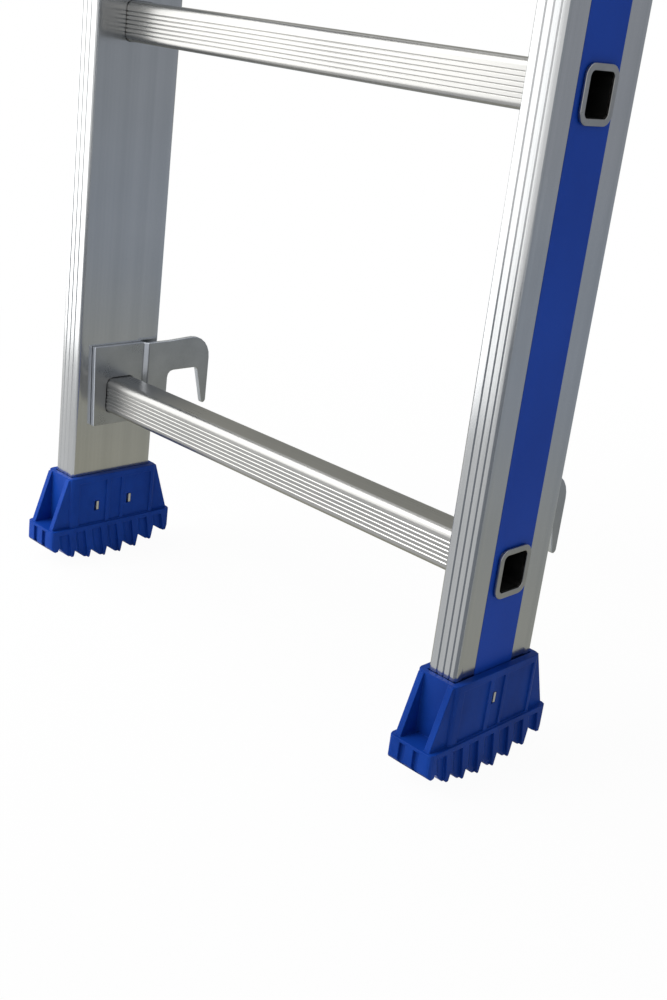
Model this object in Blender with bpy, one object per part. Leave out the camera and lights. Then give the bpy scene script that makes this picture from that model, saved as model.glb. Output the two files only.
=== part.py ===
"""Two-section push-up extension ladder, in metres, +Z up.

The base section stands on its feet with its stiles upright and its centre plane on Y = 0. The narrower
fly section slides in front of it, on the -Y side, and hangs by its two hooks on a rung of the base.
"""

from math import cos, pi, sin, sqrt

import bmesh
import bpy
from mathutils import Matrix

# Both sections
RUNG_COUNT = 8
RUNG_PITCH = 0.280
FIRST_RUNG_HEIGHT = 0.1375  # rung centre above the soles
STILE_ABOVE_TOP_RUNG = 0.134
BASE_WIDTH = 0.420
SECTION_SPACING = 0.060  # fly rung in front of the base rung that it is hooked on
STILE_GAP = 0.008  # between a fly stile and the base stile outside it
FLY_REST_RUNG = 3  # base rung that carries the fly at rest
FLY_STILE_BELOW_RUNG = 0.108

# Stile extrusion
STILE_WIDTH = 0.022
STILE_DEPTH = 0.077
STILE_WALL = 0.0016
STILE_CORNER = 0.0025
BEAD_WIDTH = 0.0055
WEB_SINK = 0.0007  # outer web below the beads that border it

# Rung tube
RUNG_DEPTH = 0.026
RUNG_HEIGHT = 0.028
RUNG_WALL = 0.0016
RUNG_CORNER = 0.0045
LIP_REACH = 0.0023  # how far the flared end stands out round the tube
LIP_THICKNESS = 0.0018

# Gaps and running clearances
FIT_GAP = 0.0003  # between pieces that touch
SLIDE_GAP = 0.0006  # between a glide surface and the stile that runs on it
CORNER_SEGMENTS = 2

# Band on the outer web of each stile
BAND_WIDTH = 0.0374
BAND_OFFSET = 0.0006  # its middle ahead of the stile's
BAND_THICKNESS = 0.0003
BAND_WINDOW_MARGIN = 0.0008
BAND_END_MARGIN = 0.030
BAND_INTO_FOOT = 0.010

# Hook bracket
HOOK_THICKNESS = 0.004
HOOK_JOGGLE = 0.0035  # step of the arm away from the stile
PLATE_IN_FRONT = 0.0135  # plate beyond the tube of its own rung
PLATE_TAPER = 0.0024  # how much less it reaches to the front at the bottom
PLATE_ABOVE = 0.0263
PLATE_BELOW = 0.0100
BEND_BEHIND_RUNG = 0.0075
BEND_LENGTH = 0.0035
HEEL_BEHIND_BEND = 0.006
THROAT_CLEARANCE = 0.0025  # in front of and behind the rung that it hangs on
THROAT_HEADROOM = 0.0013  # throat roof above the top of the bracket's own rung
THROAT_CORNER = 0.0055
PRONG_ROOT = 0.012
PRONG_TIP = 0.0052
PRONG_LENGTH = 0.032
ARM_HEIGHT = 0.0262
ARM_CORNER = 0.019

# Foot moulding
FOOT_WALL = 0.0038
RIM_HEIGHT = 0.0715
SOCKET_FLOOR = 0.023
SOLE_TOP = 0.030
SOLE_BEYOND_STILE = 0.0207  # in front of and behind the stile
SOLE_STEP = 0.0066  # on either side of the stile
SOLE_CORNER = 0.0035
SOLE_RADIUS = 0.145
SOLE_END_RISE = 0.0034  # extra rise at the bottom of the toe and of the heel
TOOTH_COUNT = 8
TOOTH_PITCH = 0.0156
TOE_MARGIN = 0.0046  # from the front of the sole to the middle of the front tooth
HEEL_MARGIN = 0.0047  # from the middle of the last tooth to the back of the sole
TOOTH_LAND = 0.0036
TOOTH_DEPTH = 0.0080
ROOT_SHARE = 0.7  # a root's depth counts from this far between the heights of the teeth beside it
TOOTH_LEAN = 0.19  # how far the steep back leans over, for each unit of its height
FIN_LAND = 0.0060
FIN_RAMP = 0.0035
FIN_STEP = 0.0005  # from the middle of a tooth to the step of its groove, at the floor
FIN_LEAN = 0.18  # how far a step leans forwards, for each unit of its height
FIN_DEPTH = 0.0023
FIN_LIP = 0.0040  # plain edge above the fins
END_GROOVE_WIDTH = 0.0046
END_GROOVE_SPACING = 0.0114
END_GROOVE_LIP = 0.0022  # plain edge above the grooves of the ends
FRAME_DEPTH = 0.0012  # how far the frame round the side panels stands out
PANELS = ((-0.0336, -0.0077), (-0.0035, 0.0070), (0.0100, 0.0369))  # ends of each, along Y
PANEL_BELOW_RIM = 0.0050
PANEL_ABOVE_SOLE = 0.0008
RIB_THICKNESS = 0.0045
RIB_SETBACK = 0.0010
RIB_END_MARGIN = 0.0022
PIN_WIDTH = 0.0022
PIN_HEIGHT = 0.0072
OUTER_PIN = (0.0005, 0.0197)  # place along Y, and distance below the rim
INNER_PINS = ((-0.015, 0.0265), (0.017, 0.0255))

# End caps
CAP_THICKNESS = 0.004
CAP_EDGE = 0.0010
PLUG_DEPTH = 0.014

# Guides that keep the sections together
GUIDE_THICKNESS = 0.0030
GUIDE_HEIGHT = 0.060
GUIDE_BELOW_TOP = 0.035
GUIDE_TAIL = 0.012  # behind the front face of the base stile
GUIDE_LIP = 0.018  # across the front face of the fly stile
PAD_THICKNESS = 0.0046
PAD_SIDE_LENGTH = 0.014
PAD_FLANGE = 0.003
BLOCK_HEIGHT = 0.050
BLOCK_ABOVE_END = 0.014
BLOCK_FRONT = 0.010  # thickness in front of the base stile
BLOCK_REACH = 0.017  # across the front face of the base stile
BLOCK_SIDE_LENGTH = 0.030

# Rivets and screws
SHANK_RADIUS = 0.0018
RIVET_HEAD_RADIUS = 0.0042
SCREW_HEAD_RADIUS = 0.0034
HEAD_HEIGHT = 0.0014
BLIND_END_RADIUS = 0.0030
BLIND_END_LENGTH = 0.0045
RIVET_SPACING = 0.036
SCREW_SPACING = 0.026
FASTENER_SIDES = 10

# Worked out from the sizes above
FLY_WIDTH = BASE_WIDTH - 2 * (STILE_WIDTH + STILE_GAP)
SECTION_WIDTH = {"base": BASE_WIDTH, "fly": FLY_WIDTH}
STILE_TOP = FIRST_RUNG_HEIGHT + (RUNG_COUNT - 1) * RUNG_PITCH + STILE_ABOVE_TOP_RUNG
STILE_BOTTOM = {"base": SOCKET_FLOOR + FIT_GAP, "fly": FIRST_RUNG_HEIGHT - FLY_STILE_BELOW_RUNG}
STILE_FRONT = STILE_DEPTH / 2  # front face ahead of the stile's centre plane
BASE_FRONT_FROM_FLY = SECTION_SPACING - STILE_FRONT  # base stile's front face behind the fly's plane
THROAT_ROOF = RUNG_HEIGHT / 2 + THROAT_HEADROOM
FLY_LIFT = (FLY_REST_RUNG - 1) * RUNG_PITCH + RUNG_HEIGHT / 2 + FIT_GAP - THROAT_ROOF
SOLE_HALF_LENGTH = STILE_DEPTH / 2 + SOLE_BEYOND_STILE
SOLE_HALF_WIDTH = STILE_WIDTH / 2 + SOLE_STEP
SIDES = {"left": -1, "right": 1}


# --- shapes -----------------------------------------------------------------------------------------


def rounded_outline(half_u, half_v, radius, segments=CORNER_SEGMENTS):
    """Points round a rectangle with rounded corners, anticlockwise from the +U end of its +V side."""
    points = []
    for corner in range(4):
        centre_u = (half_u - radius) * (1 if corner in (0, 3) else -1)
        centre_v = (half_v - radius) * (1 if corner in (0, 1) else -1)
        points += arc(centre_u, centre_v, radius, corner * pi / 2, (corner + 1) * pi / 2, segments)
    return points


def arc(centre_u, centre_v, radius, start, end, segments):
    """Points on an arc, from one angle to another, both ends included."""
    angles = [start + (end - start) * step / segments for step in range(segments + 1)]
    return [(centre_u + radius * cos(a), centre_v + radius * sin(a)) for a in angles]


def ring_shape(rings, closed):
    """Rings of points joined each to the next. A closed one also joins the last ring to the first."""
    bm = bmesh.new()
    loops = [[bm.verts.new(point) for point in ring] for ring in rings]
    pairs = list(zip(loops, loops[1:]))
    if closed:
        pairs.append((loops[-1], loops[0]))
    else:
        bm.faces.new(loops[0])
        bm.faces.new(loops[-1])
    for near, far in pairs:
        for i in range(len(near)):
            j = (i + 1) % len(near)
            bm.faces.new((near[i], near[j], far[j], far[i]))
    bmesh.ops.recalc_face_normals(bm, faces=bm.faces)
    return bm


def prism(outline, axis, start, end):
    """A solid: an outline in the two other axes, in X, Y, Z order, drawn out along one axis."""
    index = "XYZ".index(axis)
    rings = [[(*point[:index], place, *point[index:]) for point in outline] for place in (start, end)]
    return ring_shape(rings, closed=False)


def box(x_range, y_range, z_range):
    """A block between two places on each axis."""
    (x0, x1), (y0, y1) = x_range, y_range
    return prism([(x0, y0), (x1, y0), (x1, y1), (x0, y1)], "Z", *z_range)


def turned(profile):
    """A solid turned about the X axis, from (place along X, radius) pairs."""
    turns = [2 * pi * i / FASTENER_SIDES for i in range(FASTENER_SIDES)]
    rings = [[(x, radius * cos(turn), radius * sin(turn)) for turn in turns] for x, radius in profile]
    return ring_shape(rings, closed=False)


def joined(shapes):
    """One mesh that holds several separate solids."""
    bm = bmesh.new()
    for shape in shapes:
        mesh = bpy.data.meshes.new("piece")
        shape.to_mesh(mesh)
        shape.free()
        bm.from_mesh(mesh)
        bpy.data.meshes.remove(mesh)
    return bm


def combined(shape, other, operation):
    """The exact union, difference or intersection of two shapes."""
    objects = []
    for bm in (shape, other):
        mesh = bpy.data.meshes.new("operand")
        bm.to_mesh(mesh)
        bm.free()
        obj = bpy.data.objects.new("operand", mesh)
        bpy.context.scene.collection.objects.link(obj)
        objects.append(obj)
    body, tool = objects
    modifier = body.modifiers.new("combine", "BOOLEAN")
    modifier.object = tool
    modifier.operation = operation
    modifier.solver = "EXACT"
    evaluated = body.evaluated_get(bpy.context.evaluated_depsgraph_get())
    result = bmesh.new()
    result.from_mesh(evaluated.to_mesh())
    evaluated.to_mesh_clear()
    for obj in objects:
        mesh = obj.data
        bpy.data.objects.remove(obj)
        bpy.data.meshes.remove(mesh)
    return result


def united(shapes):
    """Overlapping shapes made into one solid."""
    body = shapes[0]
    for other in shapes[1:]:
        body = combined(body, other, "UNION")
    return body


def placed(bm, x=0.0, y=0.0, z=0.0):
    """The shape moved by the given distances."""
    bmesh.ops.translate(bm, verts=bm.verts, vec=(x, y, z))
    return bm


def leaned(bm, lean):
    """The shape leaning forwards: each point moved by a share of its height."""
    for vert in bm.verts:
        vert.co.y -= lean * vert.co.z
    return bm


def mirrored(bm, x=1, z=1):
    """The shape mirrored along X or Z, where that factor is -1."""
    bmesh.ops.transform(bm, matrix=Matrix.Diagonal((x, 1, z, 1)), verts=bm.verts)
    if x * z < 0:
        bmesh.ops.reverse_faces(bm, faces=bm.faces)
    return bm


# --- stiles, rungs and bands ------------------------------------------------------------------------


def stile_centre(section, side):
    return SIDES[side] * (SECTION_WIDTH[section] - STILE_WIDTH) / 2


def inner_face(section, side):
    return SIDES[side] * (SECTION_WIDTH[section] / 2 - STILE_WIDTH)


def outer_face(section, side):
    return SIDES[side] * SECTION_WIDTH[section] / 2


def stile_outline():
    """Section through a right-hand stile: rounded corners, and a web between beads on the outer side."""
    half_width = STILE_WIDTH / 2
    web_edge = STILE_FRONT - BEAD_WIDTH
    web = [
        (half_width, -web_edge),
        (half_width - WEB_SINK, WEB_SINK - web_edge),
        (half_width - WEB_SINK, web_edge - WEB_SINK),
        (half_width, web_edge),
    ]
    return rounded_outline(half_width, STILE_FRONT, STILE_CORNER) + web


def stile_cavity(clearance=0.0):
    """Inside of a right-hand stile, as ranges along X and Y."""
    half_width = STILE_WIDTH / 2
    inset = STILE_WALL + clearance
    return (inset - half_width, half_width - WEB_SINK - inset), (inset - STILE_FRONT, STILE_FRONT - inset)


def rung_heights():
    return [FIRST_RUNG_HEIGHT + number * RUNG_PITCH for number in range(RUNG_COUNT)]


def rung_window():
    """Outline in Y and Z of the hole that a rung passes through."""
    return rounded_outline(RUNG_DEPTH / 2 + FIT_GAP, RUNG_HEIGHT / 2 + FIT_GAP, RUNG_CORNER + FIT_GAP)


def make_stile(section, side):
    """A hollow extrusion with a window through both walls for each rung. Z = 0 is its lower end."""
    bottom = STILE_BOTTOM[section]
    body = prism(stile_outline(), "Z", bottom, STILE_TOP)
    hollow = box(*stile_cavity(), (bottom - STILE_WALL, STILE_TOP + STILE_WALL))
    body = combined(body, hollow, "DIFFERENCE")
    cutters = [placed(prism(rung_window(), "X", -STILE_WIDTH, STILE_WIDTH), z=z) for z in rung_heights()]
    wall = {"base": (-STILE_WIDTH, 0.0), "fly": (0.0, STILE_WIDTH)}[section]
    for y, z in fastener_places(section):
        cutters.append(placed(turned([(x, SHANK_RADIUS + FIT_GAP) for x in wall]), y=y, z=z))
    body = combined(body, joined(cutters), "DIFFERENCE")
    return placed(mirrored(body, x=SIDES[side]), z=-bottom)


def make_rung(section):
    """A rounded square tube, flared into a lip outside each stile."""
    lip_start = SECTION_WIDTH[section] / 2 - WEB_SINK + BAND_THICKNESS + 2 * FIT_GAP
    lip_end = lip_start + LIP_THICKNESS
    edge = LIP_THICKNESS / 3
    # (place along X, growth of the tube's outline), from its skin round the lip to its bore
    flare = [
        (lip_start, 0.0),
        (lip_start, LIP_REACH),
        (lip_end - edge, LIP_REACH),
        (lip_end, LIP_REACH - edge),
        (lip_end, edge - RUNG_WALL),
        (lip_end - edge, -RUNG_WALL),
    ]
    rings = []
    for x, growth in flare + [(-x, growth) for x, growth in reversed(flare)]:
        outline = rounded_outline(RUNG_DEPTH / 2 + growth, RUNG_HEIGHT / 2 + growth, RUNG_CORNER + growth)
        rings.append([(x, y, z) for y, z in outline])
    return ring_shape(rings, closed=True)


def band_bottom(section):
    """Lower end of a band: inside the rim of the foot, or above the slide block."""
    block_top = block_height() + BLOCK_HEIGHT / 2
    return {"base": RIM_HEIGHT - BAND_INTO_FOOT, "fly": block_top + FIT_GAP}[section]


def make_band(section, side):
    """A thin film on the web, with a window for each rung. Z = 0 is its lower end."""
    surface = STILE_WIDTH / 2 - WEB_SINK + FIT_GAP
    bottom = band_bottom(section)
    along = (-BAND_WIDTH / 2 - BAND_OFFSET, BAND_WIDTH / 2 - BAND_OFFSET)
    body = box((surface, surface + BAND_THICKNESS), along, (bottom, STILE_TOP - BAND_END_MARGIN))
    half_y = RUNG_DEPTH / 2 + BAND_WINDOW_MARGIN
    half_z = RUNG_HEIGHT / 2 + BAND_WINDOW_MARGIN
    windows = [box((0.0, STILE_WIDTH), (-half_y, half_y), (z - half_z, z + half_z)) for z in rung_heights()]
    body = combined(body, joined(windows), "DIFFERENCE")
    return placed(mirrored(body, x=SIDES[side]), z=-bottom)


# --- hooks ------------------------------------------------------------------------------------------


def bend_start():
    """Where the bracket starts to step away from the stile, behind its rung's centre."""
    return RUNG_DEPTH / 2 + BEND_BEHIND_RUNG


def hook_outline():
    """Side view in Y and Z from the centre of the bracket's own rung, from its lower front corner."""
    plate_front = -RUNG_DEPTH / 2 - PLATE_IN_FRONT
    plate_top = RUNG_HEIGHT / 2 + PLATE_ABOVE
    plate_bottom = -RUNG_HEIGHT / 2 - PLATE_BELOW
    heel = bend_start() + BEND_LENGTH + HEEL_BEHIND_BEND
    half_throat = RUNG_DEPTH / 2 + THROAT_CLEARANCE
    throat_front, throat_back = SECTION_SPACING - half_throat, SECTION_SPACING + half_throat
    back_corner = THROAT_CORNER / 2
    tip = PRONG_TIP / 2
    prong_back = throat_back + PRONG_ROOT
    prong_end = THROAT_ROOF - PRONG_LENGTH
    arm_top = THROAT_ROOF + ARM_HEIGHT
    outline = [(plate_front + PLATE_TAPER, plate_bottom), (heel, plate_bottom)]
    outline += [(throat_front, plate_bottom + throat_front - heel)]
    outline += arc(throat_front + THROAT_CORNER, THROAT_ROOF - THROAT_CORNER, THROAT_CORNER, pi, pi / 2, 3)
    outline += arc(throat_back - back_corner, THROAT_ROOF - back_corner, back_corner, pi / 2, 0.0, 2)
    outline += arc(prong_back - tip, prong_end + tip, tip, pi, 2 * pi, 4)
    outline += arc(prong_back - ARM_CORNER, arm_top - ARM_CORNER, ARM_CORNER, 0.0, pi / 2, 6)
    outline += [(throat_front, plate_top), (plate_front, plate_top)]
    return outline


def make_hook(side):
    """A flat bracket on the stile's inner face, stepped inward behind its rung. X = 0 is that face."""
    body = prism(hook_outline(), "X", -FIT_GAP - HOOK_THICKNESS, -FIT_GAP)
    body = combined(body, prism(rung_window(), "X", -2 * HOOK_THICKNESS, HOOK_THICKNESS), "DIFFERENCE")
    bend_end = bend_start() + BEND_LENGTH
    for y in (bend_start(), bend_end):
        everything = body.verts[:] + body.edges[:] + body.faces[:]
        bmesh.ops.bisect_plane(body, geom=everything, plane_co=(0, y, 0), plane_no=(0, 1, 0))
    for vert in body.verts:
        if vert.co.y > bend_end - FIT_GAP:
            vert.co.x -= HOOK_JOGGLE
    return mirrored(body, x=SIDES[side])


# --- feet -------------------------------------------------------------------------------------------


def tooth_middle(number):
    """Middle of a tooth's land along Y. The front tooth belongs to the toe, a little out of step."""
    if number == 0:
        return TOE_MARGIN - SOLE_HALF_LENGTH
    return SOLE_HALF_LENGTH - HEEL_MARGIN - (TOOTH_COUNT - 1 - number) * TOOTH_PITCH


def sole_height(y):
    """Height of the rockered sole at a place along Y. Its two middle teeth stand at 0."""
    lowest = tooth_middle(TOOTH_COUNT // 2) - TOOTH_PITCH / 2
    drop = sqrt(SOLE_RADIUS**2 - (TOOTH_PITCH / 2) ** 2)
    return drop - sqrt(SOLE_RADIUS**2 - (y - lowest) ** 2)


def tooth_height(number):
    """Height of a tooth's land. The front tooth is as high as the rocker at the very end of the toe."""
    return sole_height(tooth_middle(number) if number else -SOLE_HALF_LENGTH)


def tooth_root(number):
    """Place along Y and height of the root behind a tooth, at the end of its steep back."""
    low, after = tooth_height(number), tooth_height(number + 1)
    root = low + ROOT_SHARE * (after - low) + TOOTH_DEPTH
    return tooth_middle(number) + TOOTH_LAND / 2 + TOOTH_LEAN * (root - low), root


def sole_outline():
    """Side view of the sole: saw teeth along an arc, each with a level land and a steep back."""
    toe, heel = (sole_height(end * SOLE_HALF_LENGTH) + SOLE_END_RISE for end in (-1, 1))
    outline = [(-SOLE_HALF_LENGTH, SOLE_TOP), (-SOLE_HALF_LENGTH, toe)]
    for number in range(TOOTH_COUNT):
        middle = tooth_middle(number)
        low = tooth_height(number)
        outline += [(middle - TOOTH_LAND / 2, low), (middle + TOOTH_LAND / 2, low)]
        if number < TOOTH_COUNT - 1:
            outline.append(tooth_root(number))
    return outline + [(SOLE_HALF_LENGTH, heel), (SOLE_HALF_LENGTH, SOLE_TOP)]


def fin_cutters():
    """Ramped grooves down both sides of the sole above all teeth but the first, and two down each end."""
    top = SOLE_TOP - FIN_LIP
    cutters = []
    for number in range(1, TOOTH_COUNT):
        step = tooth_middle(number) + FIN_STEP
        start = step - TOOTH_PITCH + FIN_LAND
        plan = [
            (SOLE_HALF_WIDTH, start),
            (SOLE_HALF_WIDTH - FIN_DEPTH, start + FIN_RAMP),
            (SOLE_HALF_WIDTH - FIN_DEPTH, step),
            (SOLE_HALF_WIDTH + FIN_DEPTH, step),
            (SOLE_HALF_WIDTH + FIN_DEPTH, start),
        ]
        for sign in SIDES.values():
            cutters.append(mirrored(leaned(prism(plan, "Z", -FIN_DEPTH, top), FIN_LEAN), x=sign))
    for end in (-1, 1):
        reach = (end * (SOLE_HALF_LENGTH - FIN_DEPTH), end * (SOLE_HALF_LENGTH + FIN_DEPTH))
        for sign in SIDES.values():
            middle = sign * END_GROOVE_SPACING / 2
            across = (middle - END_GROOVE_WIDTH / 2, middle + END_GROOVE_WIDTH / 2)
            cutters.append(box(across, reach, (-FIN_DEPTH, SOLE_TOP - END_GROOVE_LIP)))
    return cutters


def socket_half_sizes():
    """Outside of the socket from the stile's middle, along X and Y, without the frames."""
    return STILE_WIDTH / 2 + FIT_GAP + FOOT_WALL, STILE_FRONT + FIT_GAP + FOOT_WALL


def panel_cutters():
    """Shallow panels down both sides of the socket, framed by its rim, its corners and two ribs."""
    surface = socket_half_sizes()[0]
    heights = (SOLE_TOP + PANEL_ABOVE_SOLE, RIM_HEIGHT - PANEL_BELOW_RIM)
    across = [(sign * surface, sign * (surface + 2 * FRAME_DEPTH)) for sign in SIDES.values()]
    return [box(reach, panel, heights) for reach in across for panel in PANELS]


def rib(end):
    """Side view in Y and Z of a gusset rib between the socket and the sole, at one end of the foot."""
    socket_y = socket_half_sizes()[1]
    root_y = socket_y - FOOT_WALL / 2
    root_z = SOLE_TOP - FOOT_WALL / 2
    corners = [
        (root_y, root_z),
        (SOLE_HALF_LENGTH - RIB_END_MARGIN, root_z),
        (SOLE_HALF_LENGTH - RIB_END_MARGIN, SOLE_TOP + RIB_SETBACK),
        (socket_y + RIB_SETBACK, RIM_HEIGHT - RIB_SETBACK),
        (root_y, RIM_HEIGHT - RIB_SETBACK),
    ]
    return [(end * y, z) for y, z in corners]


def pin_places():
    """(side of the foot, place along Y, height) of each pin of a right-hand foot."""
    pins = [(1, *OUTER_PIN)] + [(-1, *pin) for pin in INNER_PINS]
    return [(sign, y, RIM_HEIGHT - below_rim) for sign, y, below_rim in pins]


def pin_shape(sign, clearance):
    """A flat pin through the socket wall, grown by a clearance. Y, Z = 0 is its middle."""
    surface = STILE_WIDTH / 2 + FIT_GAP
    across = (sign * (surface - clearance), sign * (surface + FOOT_WALL + 2 * clearance))
    half_y, half_z = PIN_WIDTH / 2 + clearance, PIN_HEIGHT / 2 + clearance
    return box(across, (-half_y, half_y), (-half_z, half_z))


def make_foot(side):
    """A moulded boot: a socket round the stile, four gusset ribs and a toothed, rockered sole."""
    socket_x, socket_y = socket_half_sizes()
    sole = prism(sole_outline(), "X", -SOLE_HALF_WIDTH, SOLE_HALF_WIDTH)
    sole_plan = rounded_outline(SOLE_HALF_WIDTH, SOLE_HALF_LENGTH, SOLE_CORNER)
    sole = combined(sole, prism(sole_plan, "Z", -SOLE_TOP, 2 * SOLE_TOP), "INTERSECT")
    socket_plan = rounded_outline(socket_x + FRAME_DEPTH, socket_y, FOOT_WALL)
    parts = [sole, prism(socket_plan, "Z", SOLE_TOP - FOOT_WALL / 2, RIM_HEIGHT)]
    for end in (-1, 1):
        for sign in SIDES.values():
            outside = socket_x - RIB_SETBACK
            parts.append(prism(rib(end), "X", sign * outside, sign * (outside - RIB_THICKNESS)))
    body = united(parts)
    pocket = [(-half - FIT_GAP, half + FIT_GAP) for half in (STILE_WIDTH / 2, STILE_FRONT)]
    body = combined(body, box(*pocket, (SOCKET_FLOOR, RIM_HEIGHT + FOOT_WALL)), "DIFFERENCE")
    pin_holes = [placed(pin_shape(sign, FIT_GAP), y=y, z=z) for sign, y, z in pin_places()]
    for cutters in (fin_cutters() + panel_cutters(), pin_holes):
        body = combined(body, joined(cutters), "DIFFERENCE")
    return mirrored(body, x=SIDES[side])


# --- end caps ---------------------------------------------------------------------------------------


def make_end_cap(side, upward):
    """A lid over the stile's end, with a plug in its bore. Z = 0 is the stile's end."""
    lid = []
    for z, inset in ((FIT_GAP, 0.0), (CAP_THICKNESS - CAP_EDGE, 0.0), (CAP_THICKNESS, CAP_EDGE)):
        outline = rounded_outline(STILE_WIDTH / 2 - inset, STILE_FRONT - inset, STILE_CORNER - inset)
        lid.append([(x, y, z) for x, y in outline])
    plug = box(*stile_cavity(FIT_GAP), (-PLUG_DEPTH, CAP_THICKNESS / 2))
    body = united([ring_shape(lid, closed=False), plug])
    return mirrored(body, x=SIDES[side], z=1 if upward else -1)


# --- guides that keep the sections together ---------------------------------------------------------


def guide_height():
    """Middle of the guide claws, in the base section's frame."""
    return STILE_TOP - GUIDE_BELOW_TOP - GUIDE_HEIGHT / 2


def block_height():
    """Middle of the slide blocks, in the fly section's frame."""
    return STILE_BOTTOM["fly"] + BLOCK_ABOVE_END + BLOCK_HEIGHT / 2


def block_overlap():
    """How far a slide block reaches in between the stiles: as far as the bead of the fly stile."""
    return STILE_FRONT - BEAD_WIDTH - WEB_SINK - FIT_GAP - BASE_FRONT_FROM_FLY


def fastener_places(section):
    """Where rivets or screws go through a stile, as (y, z) in the section's frame."""
    if section == "base":
        y, middle, spacing = GUIDE_TAIL / 2 - STILE_FRONT, guide_height(), RIVET_SPACING
    else:
        y, middle, spacing = BASE_FRONT_FROM_FLY + block_overlap() / 2, block_height(), SCREW_SPACING
    return [(y, middle - spacing / 2), (y, middle + spacing / 2)]


def claw_front():
    """Front face of the guide claws, from the front face of the base stile."""
    return -SECTION_SPACING - SLIDE_GAP - PAD_THICKNESS - FIT_GAP - GUIDE_THICKNESS


def angle_plan(outer, inner, back, front, front_inner):
    """Plan of a right-hand angle: a leg along Y between two X values, and a leg across the front."""
    tip = -STILE_GAP - GUIDE_LIP
    side_leg = [(outer, front), (outer, back), (inner, back), (inner, front_inner)]
    return side_leg + [(tip, front_inner), (tip, front)]


def make_guide(side):
    """A bent steel claw from the base stile's inner face round the front of the fly stile.

    X = 0 is the base stile's inner face, Y = 0 its front face and Z = 0 the claw's mid-height.
    """
    front = claw_front()
    plan = angle_plan(-FIT_GAP, -FIT_GAP - GUIDE_THICKNESS, GUIDE_TAIL, front, front + GUIDE_THICKNESS)
    body = prism(plan, "Z", -GUIDE_HEIGHT / 2, GUIDE_HEIGHT / 2)
    bore = [(x, SHANK_RADIUS + FIT_GAP) for x in (-2 * GUIDE_THICKNESS, GUIDE_THICKNESS)]
    places = [(y + STILE_FRONT, z - guide_height()) for y, z in fastener_places("base")]
    body = combined(body, joined([placed(turned(bore), y=y, z=z) for y, z in places]), "DIFFERENCE")
    return mirrored(body, x=SIDES[side])


def make_glide_pad(side):
    """A plastic liner inside a claw, with flanges that clip over the claw's upper and lower edges."""
    inner, back = SLIDE_GAP - STILE_GAP, PAD_SIDE_LENGTH - SECTION_SPACING
    front_inner = -SECTION_SPACING - SLIDE_GAP
    lining = angle_plan(-2 * FIT_GAP - GUIDE_THICKNESS, inner, back, front_inner - PAD_THICKNESS, front_inner)
    flange = angle_plan(-FIT_GAP, inner, back, claw_front(), front_inner)
    start = GUIDE_HEIGHT / 2 + FIT_GAP
    end = start + PAD_FLANGE
    shapes = [prism(lining, "Z", -end, end)]
    shapes += [prism(flange, "Z", sign * start, sign * end) for sign in (-1, 1)]
    return mirrored(united(shapes), x=SIDES[side])


def screw_seat():
    """Floor of the counterbores in a slide block, from the fly stile's outer face."""
    return STILE_GAP - SLIDE_GAP - 2 * HEAD_HEIGHT


def make_slide_block(side):
    """A plastic block between the stiles, screwed to the fly, with a part in front of the base stile.

    X = 0 is the fly stile's outer face, Y = 0 the base stile's front face and Z = 0 the mid-height.
    """
    near, far = FIT_GAP - WEB_SINK, STILE_GAP - SLIDE_GAP
    back = block_overlap()
    front = back - BLOCK_SIDE_LENGTH
    tip = STILE_GAP + BLOCK_REACH
    plan = [(near, back), (near, front), (far, front), (tip, -SLIDE_GAP - BLOCK_FRONT)]
    plan += [(tip, -SLIDE_GAP), (far, -SLIDE_GAP), (far, back)]
    body = prism(plan, "Z", -BLOCK_HEIGHT / 2, BLOCK_HEIGHT / 2)
    narrow, wide = SHANK_RADIUS + FIT_GAP, SCREW_HEAD_RADIUS + FIT_GAP
    bore = [(-far, narrow), (screw_seat(), narrow), (screw_seat(), wide), (2 * far, wide)]
    places = [(y - BASE_FRONT_FROM_FLY, z - block_height()) for y, z in fastener_places("fly")]
    body = combined(body, joined([placed(turned(bore), y=y, z=z) for y, z in places]), "DIFFERENCE")
    return mirrored(body, x=SIDES[side])


def make_fastener(section, side):
    """A rivet of a claw or a screw of a slide block. X = 0 is the stile's face, and Y, Z = 0 its axis."""
    if section == "base":
        head_radius, seat = RIVET_HEAD_RADIUS, -GUIDE_THICKNESS - 2 * FIT_GAP
        blind_face = STILE_WALL + FIT_GAP
    else:
        head_radius, seat = SCREW_HEAD_RADIUS, screw_seat() + FIT_GAP
        blind_face = -WEB_SINK - STILE_WALL - FIT_GAP
    direction = 1 if blind_face > seat else -1
    profile = [
        (seat - direction * HEAD_HEIGHT, head_radius / 2),
        (seat - direction * HEAD_HEIGHT / 2, head_radius * 0.9),
        (seat, head_radius),
        (seat, SHANK_RADIUS),
        (blind_face, SHANK_RADIUS),
        (blind_face, BLIND_END_RADIUS),
        (blind_face + direction * BLIND_END_LENGTH, SHANK_RADIUS),
    ]
    return mirrored(turned(profile), x=SIDES[side])


# --- assembly ---------------------------------------------------------------------------------------


def make_material(name, colour, roughness, metallic):
    material = bpy.data.materials.new(name)
    material.use_nodes = True
    shader = material.node_tree.nodes["Principled BSDF"]
    shader.inputs["Base Color"].default_value = (*colour, 1.0)
    shader.inputs["Roughness"].default_value = roughness
    shader.inputs["Metallic"].default_value = metallic
    return material


def make_frame(name, location):
    """An empty that carries the pieces of one section."""
    frame = bpy.data.objects.new(name, None)
    frame.location = location
    bpy.context.scene.collection.objects.link(frame)
    return frame


def make_object(name, bm, material, frame, location):
    """Adds a named piece to a section. Its origin is at the location given in the section's frame."""
    mesh = bpy.data.meshes.new(name)
    bm.to_mesh(mesh)
    bm.free()
    mesh.shade_smooth()
    mesh.set_sharp_from_angle(angle=pi / 6)
    mesh.materials.append(material)
    obj = bpy.data.objects.new(name, mesh)
    obj.parent = frame
    obj.location = location
    bpy.context.scene.collection.objects.link(obj)


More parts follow.
